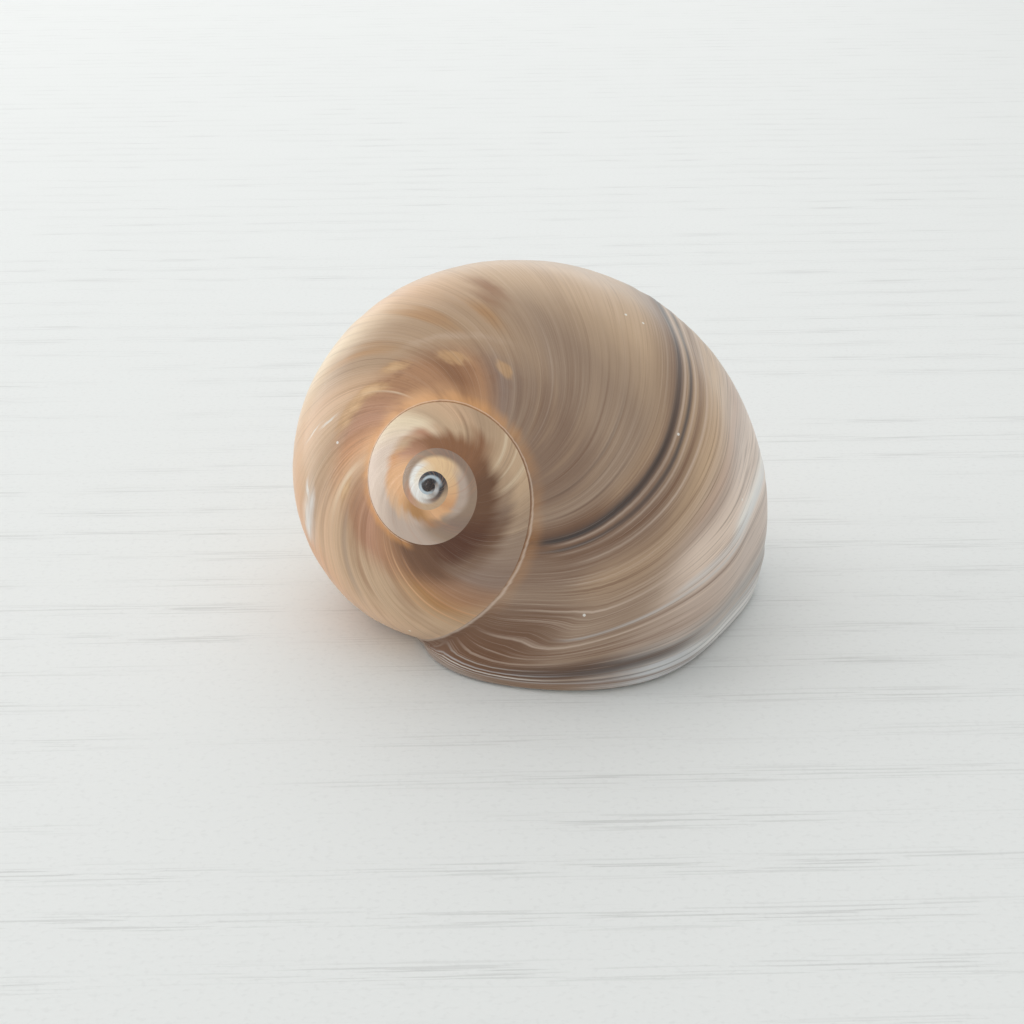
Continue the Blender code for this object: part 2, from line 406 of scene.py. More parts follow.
upperAge, upperAcross = growthAge(upperAround, upperAngle)
lowerAge, lowerAcross = growthAge(lowerAround, lowerAngle)
nearBase = smoothStep((lowerPart - body["callusFrom"]) / (1 - body["callusFrom"]))[None, :]
nearColumella = smoothStep(1 - (columnAngle[last:, None] + turn) / body["callusAngle"])
callusShare = np.maximum(nearBase, nearColumella)
upperOwn = addPoints(upperPoint, upperAge, upperAcross)
lower = addPoints(lowerPoint, lowerAge, lowerAcross, callusShare)
upper = upperOwn.copy()
upper[perTurn:, 0] = upperOwn[:-perTurn, -1]
cornerFaces = [(gridFaces(upper), gridFaces(upperOwn))]
lowerColumns = np.concatenate([upper[last:, -1:], lower], axis=1)
lowerOwn = np.concatenate([upperOwn[last:, -1:], lower], axis=1)
cornerFaces.append((gridFaces(lowerColumns), gridFaces(lowerOwn)))

allPoints = np.concatenate(points)
apexRing = np.concatenate([upper[:perTurn + 1, 0], upper[0, -2:0:-1]])[::-1]
apex = addPoints(allPoints[apexRing].mean(axis=0)[None], -coil["turns"], 0.5)
triangles = [fanFaces(apexRing, apex[0])]

# umbilicus closed by a domed plug, with the columella's edge running across it
base = lower[:, -1]
start, end = allPoints[base[-1]], allPoints[base[0]]
columellaPart = np.linspace(0, 1, fine["columella"] + 2)[1:-1, None]
columella = addPoints(start + columellaPart * (end - start), 0.0, 1.2, 1.0)
ring = np.concatenate([base, columella])
rim = np.concatenate([allPoints[base], points[-1]])
middle = rim.mean(axis=0)
ringPart = np.linspace(1, 0, fine["plug"] + 1)[1:-1, None, None]
plugPoint = middle + (rim - middle)[None] * ringPart - axis * body["callusRise"] * (1 - ringPart ** 2)
plug = addPoints(plugPoint, 0.0, 1.2, 1.0)
rings = closed(np.concatenate([ring[None], plug]))[::-1]
cornerFaces.append((gridFaces(rings), gridFaces(rings)))
plugTop = addPoints((middle - axis * body["callusRise"])[None], 0.0, 1.2, 1.0)
triangles.append(fanFaces(plug[-1], plugTop[0]))

# the lip's rounded edge, the columella's edge and the space inside: one grid of closed loops
lip = np.concatenate([upper[totalSteps], lower[-1]])
mouth = np.concatenate([lip, columella, lower[0][::-1]])
loops, loopAngle = hollowLoops()
everyPoint = np.concatenate(points)
edge = everyPoint[mouth]
bandPart = np.linspace(0, 1, fine["band"] + 2)[1:-1, None, None]
bandPoint = edge[None] + bandPart * (loops[0] - edge)[None]
alongLip = (np.arange(len(mouth)) < len(lip))[None, :, None]
rounding = np.sqrt(np.sin(np.pi * bandPart))
bandPoint[..., 2:] = bandPoint[..., 2:] - np.where(alongLip, body["edgeRound"] * rounding, 0)
hump = np.zeros(len(mouth))
hump[len(lip):] = np.sin(np.pi * np.linspace(0, 1, len(mouth) - len(lip)))
bandPoint = bandPoint - axis * body["columellaRise"] * (np.sin(np.pi * bandPart) * hump[None, :, None])
bandPoint[..., 2] = np.maximum(bandPoint[..., 2], 0)
bandAcross = np.broadcast_to(np.linspace(0, 1, len(mouth)), bandPoint.shape[:2])
onCallus = np.broadcast_to(~alongLip[..., 0], bandPoint.shape[:2]) * 1.0
band = addPoints(bandPoint, 0.0, bandAcross, onCallus, bandPart[..., 0])
depth = loopAngle[:, None] / turn
hollow = addPoints(loops, depth, np.linspace(0, 1, len(mouth))[None, :], 0.0, 1.0)
inner = closed(np.concatenate([mouth[None], band, hollow]))
cornerFaces.append((gridFaces(inner), gridFaces(inner)))
hollowEnd = addPoints(loops[-1].mean(axis=0)[None], depth[-1, 0], 0.5, 0.0, 1.0)
triangles.append(fanFaces(hollow[-1][::-1], hollowEnd[0]))
print("mouth and inside worked out:", band.shape, hollow.shape)


def buildShell():
    # vertices that no face uses are left out, and each face corner keeps its own whorl's marks
    place = np.concatenate(points)
    mark = np.concatenate(marks)
    quads = np.concatenate([shared for shared, _ in cornerFaces])
    quadMarks = np.concatenate([own for _, own in cornerFaces])
    fans = np.concatenate(triangles)
    corners = np.concatenate([quads.reshape(-1), fans.reshape(-1)])
    cornerMarks = mark[np.concatenate([quadMarks.reshape(-1), fans.reshape(-1)])]
    used, compact = np.unique(corners, return_inverse=True)
    place = place[used]
    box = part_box("shell")
    middle = (place[:, :2].min(axis=0) + place[:, :2].max(axis=0)) / 2
    place[:, :2] += np.array([(box[0][i] + box[1][i]) / 2 for i in range(2)]) - middle     # onto the solid
    mesh = bpy.data.meshes.new("shell surface")
    mesh.vertices.add(len(place))
    mesh.vertices.foreach_set("co", place.reshape(-1).astype(np.float32))
    mesh.loops.add(len(compact))
    mesh.loops.foreach_set("vertex_index", compact.astype(np.int32))
    sizes = np.concatenate([np.full(len(quads), 4), np.full(len(fans), 3)])
    mesh.polygons.add(len(sizes))
    starts = np.concatenate([[0], np.cumsum(sizes)[:-1]])
    mesh.polygons.foreach_set("loop_start", starts.astype(np.int32))
    mesh.update(calc_edges=True)
    for name, columns in (("growth", (0, 1)), ("zone", (2, 3))):
        layer = mesh.uv_layers.new(name=name)
        layer.uv.foreach_set("vector", cornerMarks[:, columns].reshape(-1).astype(np.float32))
    mesh.shade_smooth()
    mesh.validate()
    piece = bpy.data.objects.new("shell_surface", mesh)
    bpy.context.scene.collection.objects.link(piece)
    group = piece.vertex_groups.new(name="callus")
    weight = mark[used, 2]
    steps = body["smoothSteps"]
    for level in np.arange(1, steps + 1) / steps:
        chosen = np.nonzero((weight > level - 1 / steps) & (weight <= level))[0]
        group.add(chosen.tolist(), float(level), "REPLACE")
    smooth = piece.modifiers.new("callus", "SMOOTH")
    smooth.vertex_group = "callus"
    smooth.factor = 0.5
    smooth.iterations = body["smoothRounds"]
    return piece


class Value:
    # one shader socket: operators add Math nodes, so expressions read as written

    def __init__(self, tree, socket):
        self.tree = tree
        self.socket = socket

    def math(self, operation, *items):
        made = self.tree.nodes.new("ShaderNodeMath")
        made.operation = operation
        for place, item in zip(made.inputs, items):
            feed(self.tree, item, place)
        return Value(self.tree, made.outputs[0])

    def __add__(self, other):
        return self.math("ADD", self, other)

    def __sub__(self, other):
        return self.math("SUBTRACT", self, other)

    def __mul__(self, other):
        return self.math("MULTIPLY", self, other)

    def __truediv__(self, other):
        return self.math("DIVIDE", self, other)

    def __rsub__(self, other):
        return self.math("SUBTRACT", other, self)

    def __rtruediv__(self, other):
        return self.math("DIVIDE", other, self)

    __radd__ = __add__
    __rmul__ = __mul__


def feed(tree, item, place):
    # links a value to a socket, or sets the socket to a number or colour
    if isinstance(item, Value):
        tree.links.new(item.socket, place)
    else:
        place.default_value = item


def placeStops(elements, stops):
    # a ramp comes with two elements, which take the first and the last stop
    for place, colour in stops[1:-1]:
        elements.new(place).color = colour
    elements[0].color = stops[0][1]
    elements[len(stops) - 1].color = stops[-1][1]


class Shader:
    # the tree of a material or a world, with one method for every node that isn't Math

    def __init__(self, owner):
        owner.use_nodes = True
        self.owner = owner
        self.tree = owner.node_tree

    def node(self, kind, settings, inputs, output=0):
        # a node's settings go in first, then its sockets
        made = self.tree.nodes.new(kind)
        for name, value in settings.items():
            if name == "stops":
                placeStops(made.color_ramp.elements, value)
            else:
                setattr(made, name, value)
        for name, value in inputs.items():
            feed(self.tree, value, made.inputs[name])
        return Value(self.tree, made.outputs[output])

    def parts(self, vector, *which):
        # the named numbers, 0 for X and 1 for Y, of a vector
        return [self.node("ShaderNodeSeparateXYZ", {}, {"Vector": vector}, number) for number in which]

    def ramp(self, value, stops):
        # tones at given values, blended evenly in between
        low, high = stops[0][0], stops[-1][0]
        scaled = [((place - low) / (high - low), tones[tone]) for place, tone in stops]
        return self.node("ShaderNodeValToRGB", {"stops": scaled}, {"Fac": (value - low) / (high - low)})

    def mix(self, first, second, factor):
        # first colour at 0, second at 1
        return self.node("ShaderNodeMix", {"data_type": "RGBA"},
                         {"Factor": factor, "A": first, "B": second}, "Result")

    def noise(self, x, y, detail=2.0, roughness=0.5, z=0.0):
        # about 0.5 on average, one cell for each 1 of x and y
        place = self.node("ShaderNodeCombineXYZ", {}, {"X": x, "Y": y, "Z": z})
        return self.node("ShaderNodeTexNoise", {"noise_dimensions": "3D"},
                         {"Vector": place, "Scale": 1.0, "Detail": detail, "Roughness": roughness})

    def between(self, value, low, high):
        # 0 below low, 1 above high, smooth in between, and the other way round where low > high
        flip = low > high
        if flip:
            low, high = high, low
        return self.node("ShaderNodeMapRange", {"interpolation_type": "SMOOTHSTEP"},
                         {"Value": value, "From Min": low, "From Max": high,
                          "To Min": 1.0 if flip else 0.0, "To Max": 0.0 if flip else 1.0})

    def bump(self, value, centre, half):
        # 1 at the centre, smoothly to 0 at half on both sides
        offset = value - centre
        return self.between(offset.math("ABSOLUTE", offset), half, 0.0)

    def finish(self, closing, **inputs):
        # feeds the tree's closing node, whose sockets are written with _ for a space
        for name, value in inputs.items():
            feed(self.tree, value, self.tree.nodes[closing].inputs[name.replace("_", " ")])
        return self.owner


def rgb(red, green, blue):
    # a colour given as it looks on a screen, 0..255, in the shader's linear values
    values = np.array([red, green, blue]) / 255
    linear = np.where(values <= 0.04045, values / 12.92, ((values + 0.055) / 1.055) ** 2.4)
    return (*[float(v) for v in linear], 1.0)


# most of these are rounded from colours sampled from the photograph
tones = {
    # the pearl tone is a pale blue-grey, partly the shell's own pale bands and partly painted sheen along
    # the lip and the right-hand edge
    "white": rgb(250, 248, 242), "pearl_and_sheen": rgb(216, 217, 218), "fog": rgb(176, 168, 162),
    "cream": rgb(250, 230, 198), "petal": rgb(238, 216, 198), "sand": rgb(228, 190, 154),
    "straw": rgb(213, 181, 147), "khaki": rgb(191, 160, 130), "mocha": rgb(168, 142, 120),
    "taupe": rgb(147, 119, 98), "dusk": rgb(152, 127, 112), "lilac": rgb(206, 184, 168),
    "peach": rgb(244, 190, 140), "apricot": rgb(224, 164, 114), "ochre": rgb(191, 140, 86),
    "rose": rgb(199, 148, 118), "brown": rgb(150, 102, 66), "bark": rgb(116, 78, 50),
    "umber": rgb(90, 44, 10), "slate": rgb(84, 74, 70), "orange": rgb(240, 172, 102),
    "blue": rgb(192, 207, 216), "ink": rgb(16, 11, 14), "fawn": rgb(184, 136, 98),
    "honey": rgb(250, 212, 164), "night": rgb(44, 50, 58), "reed": rgb(208, 178, 146),
    "loam": rgb(126, 94, 70), "amber": rgb(214, 170, 122),
}

# tones along the growth, with the age in turns: near the suture, on the flank and low down
# they follow a grid of colours sampled from the photograph, against the work order: see report.md
bands = {
    "shoulder": ((-1.03, "bark"), (-0.95, "bark"), (-0.91, "fawn"), (-0.85, "rose"), (-0.795, "fawn"),
                 (-0.76, "sand"), (-0.72, "apricot"), (-0.67, "rose"), (-0.6, "fawn"), (-0.55, "fawn"),
                 (-0.51, "brown"), (-0.475, "fawn"), (-0.44, "dusk"), (-0.4, "mocha"),
                 (-0.36, "taupe"), (-0.26, "taupe"), (-0.235, "mocha"), (-0.205, "bark"),
                 (-0.17, "taupe"), (-0.14, "taupe"), (-0.12, "mocha"), (-0.105, "taupe"),
                 (-0.085, "loam"), (-0.05, "bark"), (-0.02, "bark"), (-0.008, "taupe"), (0.01, "fog")),
    "flank": ((-1.03, "dusk"), (-0.96, "fawn"), (-0.925, "ochre"), (-0.88, "straw"), (-0.79, "straw"),
              (-0.74, "sand"), (-0.68, "straw"), (-0.6, "sand"), (-0.56, "khaki"), (-0.46, "khaki"),
              (-0.42, "khaki"), (-0.36, "mocha"), (-0.23, "mocha"), (-0.212, "khaki"), (-0.2, "taupe"),
              (-0.16, "taupe"), (-0.13, "khaki"), (-0.095, "mocha"), (-0.075, "mocha"),
              (-0.042, "mocha"), (-0.032, "slate"), (-0.022, "slate"), (-0.014, "taupe"),
              (0.01, "mocha")),
    # low down the bands end in the pearl tone at the lip, which is partly painted sheen
    "low": ((-1.03, "khaki"), (-0.9, "straw"), (-0.78, "sand"), (-0.7, "apricot"), (-0.6, "sand"),
            (-0.52, "cream"), (-0.44, "sand"), (-0.38, "reed"), (-0.24, "reed"), (-0.205, "taupe"),
            (-0.185, "khaki"), (-0.165, "khaki"), (-0.145, "straw"), (-0.115, "lilac"),
            (-0.1, "petal"), (-0.088, "petal"), (-0.078, "petal"), (-0.068, "lilac"),
            (-0.045, "lilac"), (-0.03, "fog"), (-0.022, "fog"), (-0.017, "pearl_and_sheen"), (0.01, "pearl_and_sheen")),
    # the umber by the inner suture at the spire's end is partly the shell's dark brown and partly painted
    # shade in the suture
    "spireInner": ((-2.12, "peach"), (-2.03, "peach"), (-1.97, "ochre"), (-1.91, "ochre"),
                   (-1.82, "peach"), (-1.72, "peach"), (-1.66, "rose"), (-1.58, "brown"),
                   (-1.4, "brown"), (-1.3, "bark"), (-1.2, "bark"), (-1.12, "umber"), (-1.05, "umber"),
                   (-1.0, "bark")),
    "spireMiddle": ((-2.12, "lilac"), (-2.04, "mocha"), (-1.98, "fawn"), (-1.92, "lilac"),
                    (-1.83, "sand"), (-1.74, "peach"), (-1.67, "apricot"), (-1.62, "straw"),
                    (-1.56, "rose"), (-1.5, "straw"), (-1.43, "straw"), (-1.38, "brown"),
                    (-1.32, "straw"), (-1.25, "khaki"), (-1.19, "taupe"), (-1.13, "bark"),
                    (-1.0, "taupe")),
    "spireOuter": ((-2.12, "mocha"), (-2.03, "dusk"), (-1.96, "mocha"), (-1.9, "lilac"),
                   (-1.8, "lilac"), (-1.72, "petal"), (-1.62, "petal"), (-1.54, "cream"),
                   (-1.49, "straw"), (-1.43, "sand"), (-1.38, "khaki"), (-1.31, "straw"),
                   (-1.22, "straw"), (-1.12, "mocha"), (-1.0, "dusk")),
    # the tip is darkest at its centre, the shell's dark eye, and along its inner suture, where the ink and
    # night are partly painted shade
    "tipInner": ((-4.6, "ink"), (-3.46, "ink"), (-3.38, "night"), (-3.29, "fog"), (-3.18, "pearl_and_sheen"),
                 (-3.09, "fog"), (-2.97, "white"), (-2.84, "white"), (-2.62, "cream"), (-2.5, "honey"),
                 (-2.36, "honey"), (-2.2, "peach"), (-2.12, "apricot")),
    "tipMiddle": ((-4.6, "ink"), (-3.8, "ink"), (-3.7, "night"), (-3.6, "blue"), (-3.3, "blue"),
                  (-3.21, "night"), (-3.12, "slate"), (-3.02, "dusk"), (-2.88, "white"),
                  (-2.6, "white"), (-2.52, "honey"), (-2.38, "honey"), (-2.28, "lilac"),
                  (-2.12, "lilac")),
    "tipOuter": ((-4.6, "ink"), (-4.12, "ink"), (-3.96, "blue"), (-3.72, "blue"), (-3.58, "night"),
                 (-3.31, "night"), (-3.22, "slate"), (-3.08, "straw"), (-2.88, "straw"),
                 (-2.76, "rose"), (-2.66, "mocha"), (-2.5, "mocha"), (-2.4, "dusk"), (-2.12, "mocha")),
}

# single growth lines and stripes: tone, age, half width, from and to across the whorl, strength
stripes = (
    ("apricot", -0.936, 0.003, 0.06, 0.4, 0.5), ("peach", -0.912, 0.003, 0.06, 0.4, 0.5),
    ("apricot", -0.897, 0.002, 0.04, 0.35, 0.4), ("dusk", -0.788, 0.012, 0.1, 0.34, 0.45),
    ("bark", -0.803, 0.01, 0.03, 0.12, 0.3), ("cream", -0.752, 0.009, 0.04, 0.17, 0.55),
    ("cream", -0.612, 0.003, 0.02, 0.12, 0.55), ("brown", -0.6, 0.005, 0.03, 0.12, 0.35),
    ("slate", -0.262, 0.003, 0.02, 0.26, 0.3), ("bark", -0.318, 0.003, 0.02, 0.14, 0.25),
    ("taupe", -0.345, 0.004, 0.02, 0.2, 0.35), ("bark", -0.216, 0.014, 0.02, 0.3, 0.22),
    ("slate", -0.202, 0.013, 0.01, 0.24, 0.6), ("slate", -0.199, 0.008, 0.01, 0.85, 1.0),
    ("ink", -0.1995, 0.0055, 0.01, 0.36, 0.5), ("petal", -0.1915, 0.0028, 0.05, 0.8, 0.4),
    ("slate", -0.1835, 0.005, 0.03, 0.8, 0.9), ("petal", -0.1765, 0.0025, 0.05, 0.8, 0.35),
    ("bark", -0.169, 0.005, 0.05, 0.8, 0.6), ("petal", -0.16, 0.0025, 0.1, 0.8, 0.3),
    ("rose", -0.122, 0.009, 0.35, 0.9, 0.22), ("petal", -0.0985, 0.0025, 0.05, 0.9, 0.3),
    # the white and pearl stripes near -0.08 are a pale growth band, brightened partly as painted sheen of
    # the right-hand edge
    ("white", -0.082, 0.011, 0.5, 0.95, 0.9), ("pearl_and_sheen", -0.079, 0.006, 0.34, 0.95, 0.55),
    ("petal", -0.095, 0.004, 0.45, 0.95, 0.4), ("pearl_and_sheen", -0.073, 0.003, 0.16, 0.6, 0.5),
    ("bark", -0.068, 0.0022, 0.02, 0.95, 0.4), ("petal", -0.064, 0.0018, 0.02, 0.95, 0.3),
    ("slate", -0.026, 0.0075, 0.14, 0.46, 0.75), ("bark", -0.033, 0.014, 0.02, 0.3, 0.55),
    ("bark", -0.055, 0.012, 0.02, 0.3, 0.3), ("petal", -0.041, 0.002, 0.02, 0.2, 0.45),
    # the pearl lines by the lip are partly painted sheen on its growth ridges
    ("white", -0.016, 0.003, 0.46, 0.95, 0.65), ("slate", -0.0128, 0.0016, 0.1, 0.9, 0.5),
    ("pearl_and_sheen", -0.0105, 0.0018, 0.12, 0.5, 0.4), ("white", -0.01, 0.0026, 0.5, 0.95, 0.7),
    ("taupe", -0.0072, 0.0016, 0.05, 0.9, 0.5), ("white", -0.004, 0.003, 0.55, 0.95, 0.55),
    ("white", -0.03, 0.0018, 0.01, 0.18, 0.5), ("pearl_and_sheen", -0.0215, 0.0022, 0.01, 0.22, 0.7),
    ("white", -0.0145, 0.002, 0.01, 0.22, 0.7), ("pearl_and_sheen", -0.009, 0.0014, 0.01, 0.16, 0.6),
    ("white", -0.004, 0.0014, 0.01, 0.12, 0.6), ("umber", -0.018, 0.0018, 0.01, 0.26, 0.4),
    ("umber", -0.0115, 0.0014, 0.01, 0.24, 0.4), ("slate", -0.23, 0.002, 0.02, 0.24, 0.3),
    ("slate", -0.246, 0.0016, 0.02, 0.22, 0.25), ("bark", -0.285, 0.0022, 0.02, 0.3, 0.35),
    ("bark", -0.372, 0.006, 0.02, 0.2, 0.4), ("umber", -0.41, 0.01, 0.02, 0.16, 0.28),
    ("bark", -0.455, 0.008, 0.02, 0.16, 0.3), ("bark", -0.52, 0.014, 0.03, 0.12, 0.3),
    ("bark", -1.425, 0.01, 0.05, 0.24, 0.45), ("cream", -1.31, 0.008, 0.08, 0.3, 0.55),
    ("cream", -1.276, 0.005, 0.08, 0.3, 0.45), ("taupe", -1.293, 0.004, 0.08, 0.3, 0.4),
    ("cream", -1.532, 0.024, 0.05, 0.28, 0.6), ("khaki", -1.496, 0.012, 0.05, 0.28, 0.45),
    ("cream", -1.244, 0.012, 0.08, 0.28, 0.4), ("straw", -1.135, 0.008, 0.12, 0.3, 0.3),
)

# spots and blotches: tone, age, half length, across, half breadth, strength
spots = (
    ("petal", -0.47, 0.09, 0.185, 0.018, 0.2), ("ochre", -0.412, 0.016, 0.255, 0.06, 0.6),
    ("brown", -0.396, 0.014, 0.3, 0.05, 0.6), ("brown", -0.382, 0.016, 0.345, 0.07, 0.75),
    ("white", -0.69, 0.03, 0.31, 0.085, 0.6), ("white", -0.694, 0.012, 0.275, 0.04, 1.0),
    ("white", -0.674, 0.014, 0.284, 0.014, 0.85), ("white", -0.69, 0.012, 0.33, 0.07, 1.0),
    ("white", -0.63, 0.004, 0.215, 0.035, 0.75), ("white", -0.622, 0.003, 0.27, 0.04, 0.6),
    ("bark", -0.985, 0.028, 0.08, 0.06, 0.45), ("ink", -3.19, 0.06, 0.19, 0.045, 0.85),
    # this umber spot widens that dark: partly brown, partly painted shade by the spire's inner suture
    ("umber", -1.09, 0.16, 0.06, 0.06, 0.45),
)

# pale patches on the shoulder: age, half length, across, half breadth
patches = (
    (-0.642, 0.052, 0.148, 0.05), (-0.606, 0.024, 0.125, 0.06), (-0.562, 0.028, 0.142, 0.042),
    (-0.5, 0.034, 0.118, 0.042), (-0.432, 0.02, 0.112, 0.034), (-0.765, 0.02, 0.1, 0.06),
)

# noises drawn out along the growth lines: cells per turn and across, detail, roughness, offset
veils = {
    "cloud": (22.0, 9.0, 3.0, 0.55, 12.0), "drift": (5.0, 4.0, 2.0, 0.5, 20.0),
    "brush": (34.0, 2.5, 2.0, 0.6, 24.0), "blot": (75.0, 30.0, 3.0, 0.6, 16.0),
    "streaks": (60.0, 1.6, 2.0, 0.6, 0.0), "lines": (190.0, 2.2, 3.0, 0.65, 4.0),
    "hair": (650.0, 3.0, 2.0, 0.6, 8.0), "chance": (9.0, 9.0, 0.0, 0.5, 30.0),
}

# where a mask is 0 and where it is 1
ranges = {
    "flank": (0.09, 0.20), "low": (0.25, 0.41), "body": (-1.03, -0.99), "spire": (-2.16, -2.08),
    "spireMiddle": (0.045, 0.115), "spireOuter": (0.11, 0.18),
    "tipMiddle": (0.05, 0.11), "tipOuter": (0.14, 0.22),
    "patchNear": (0.0, 0.6), "patchEdge": (0.10, 0.65), "patchCore": (0.45, 0.95),
    "coreAge": (-0.50, -0.60), "murk": (0.50, 0.30), "stain": (0.50, 0.34), "fanAcross": (0.34, 0.10),
    "youth": (-0.30, -0.12), "tall": (-2.2, -0.95), "spireAge": (-1.6, -2.0),
    "pastSpire": (-0.99, -0.95), "glow": (0.032, 0.006), "glowLate": (-0.06, -0.16),
    "glowEarly": (-0.30, -0.52), "glowCloud": (0.20, 0.60), "wideGlow": (0.060, 0.012),
    "wideCloud": (0.25, 0.60), "seam": (0.0028, 0.0014), "chipAge": (-0.012, -0.004),
    "chip": (0.42, 0.56), "speck": (0.055, 0.035), "speckChance": (0.52, 0.56), "underAcross": (0.50, 0.75),
    "underAge": (-0.20, -0.30), "underBrush": (0.54, 0.30), "padPale": (0.36, 0.60), "padDark": (0.46, 0.30),
    "callus": (0.10, 0.90), "deepRose": (0.50, 0.70), "inside": (0.05, 0.5),
}

# the middle and half width of a hump
humps = {
    "murkAcross": (0.10, 0.09), "murkAge": (-0.56, 0.24), "stainAge": (-0.50, 0.13),
    "stainAcross": (0.27, 0.13), "early": (-0.82, 0.28), "fanAge": (-0.34, 0.20),
    "wideGlow": (-0.64, 0.24), "thread": (0.0038, 0.0018), "chip": (0.012, 0.016),
}

# layers of paint: tone and strength
paints = {
    "murk": ("brown", 0.45), "patch": ("amber", 0.70), "patchCore": ("honey", 0.45),
    "stain": ("ochre", 0.75), "glow": ("orange", 1.0), "wideGlow": ("peach", 0.75),
    "thread": ("petal", 0.50), "seam": ("bark", 0.60), "chip": ("white", 0.8), "speck": ("white", 0.8),
    "under": ("khaki", 0.6), "underBrush": ("fawn", 0.45), "padDark": ("bark", 0.3),
    "deepRose": ("rose", 0.35),
}

# fine growth lines: tone, noise, where they start and are full, the part they cover, strength
fineLines = (
    ("bark", "streaks", 0.50, 0.26, "tall", 0.34), ("rose", "streaks", 0.50, 0.70, "spire", 0.35),
    ("brown", "brush", 0.50, 0.30, "early", 0.50), ("bark", "brush", 0.52, 0.30, "fan", 0.45),
    ("straw", "brush", 0.52, 0.72, "fan", 0.30), ("bark", "lines", 0.49, 0.30, "tall", 0.45),
    ("petal", "lines", 0.54, 0.72, "tall", 0.26), ("bark", "hair", 0.48, 0.30, "tall", 0.42),
    ("petal", "hair", 0.54, 0.74, "tall", 0.26),
)

# tones of the inside, with the age in turns back from the lip
deepTones = ((-0.72, "brown"), (-0.45, "fawn"), (-0.20, "straw"), (-0.06, "petal"), (0.0, "white"))

# how far borders wander, how stripes fade at their ends, and the finish
skin = {
    "bandWander": 0.016, "rowWander": 0.07, "strokeWander": 0.09, "spotWander": (0.012, 0.03),
    "stripeWander": (0.0012, 0.004), "glowWander": 0.03, "seamWander": 0.003,
    "stripeTop": (-0.02, 0.05), "stripeBottom": (0.05, -0.08),
    "patchWeight": 0.8, "patchNoise": 1.1, "oldLines": 0.40, "glowLate": 0.20, "glowEarly": 0.40,
    "speckScale": 260.0, "mistScale": 70.0, "mistDetail": 3.0, "mistRoughness": 0.55, "padStrength": 0.95,
    "lineShare": 0.6, "bump": 0.35, "bumpDepth": 0.0002,
    "gloss": 0.36, "glossChange": 0.14, "callusGloss": 0.08, "coat": 0.25, "coatGloss": 0.2,
}


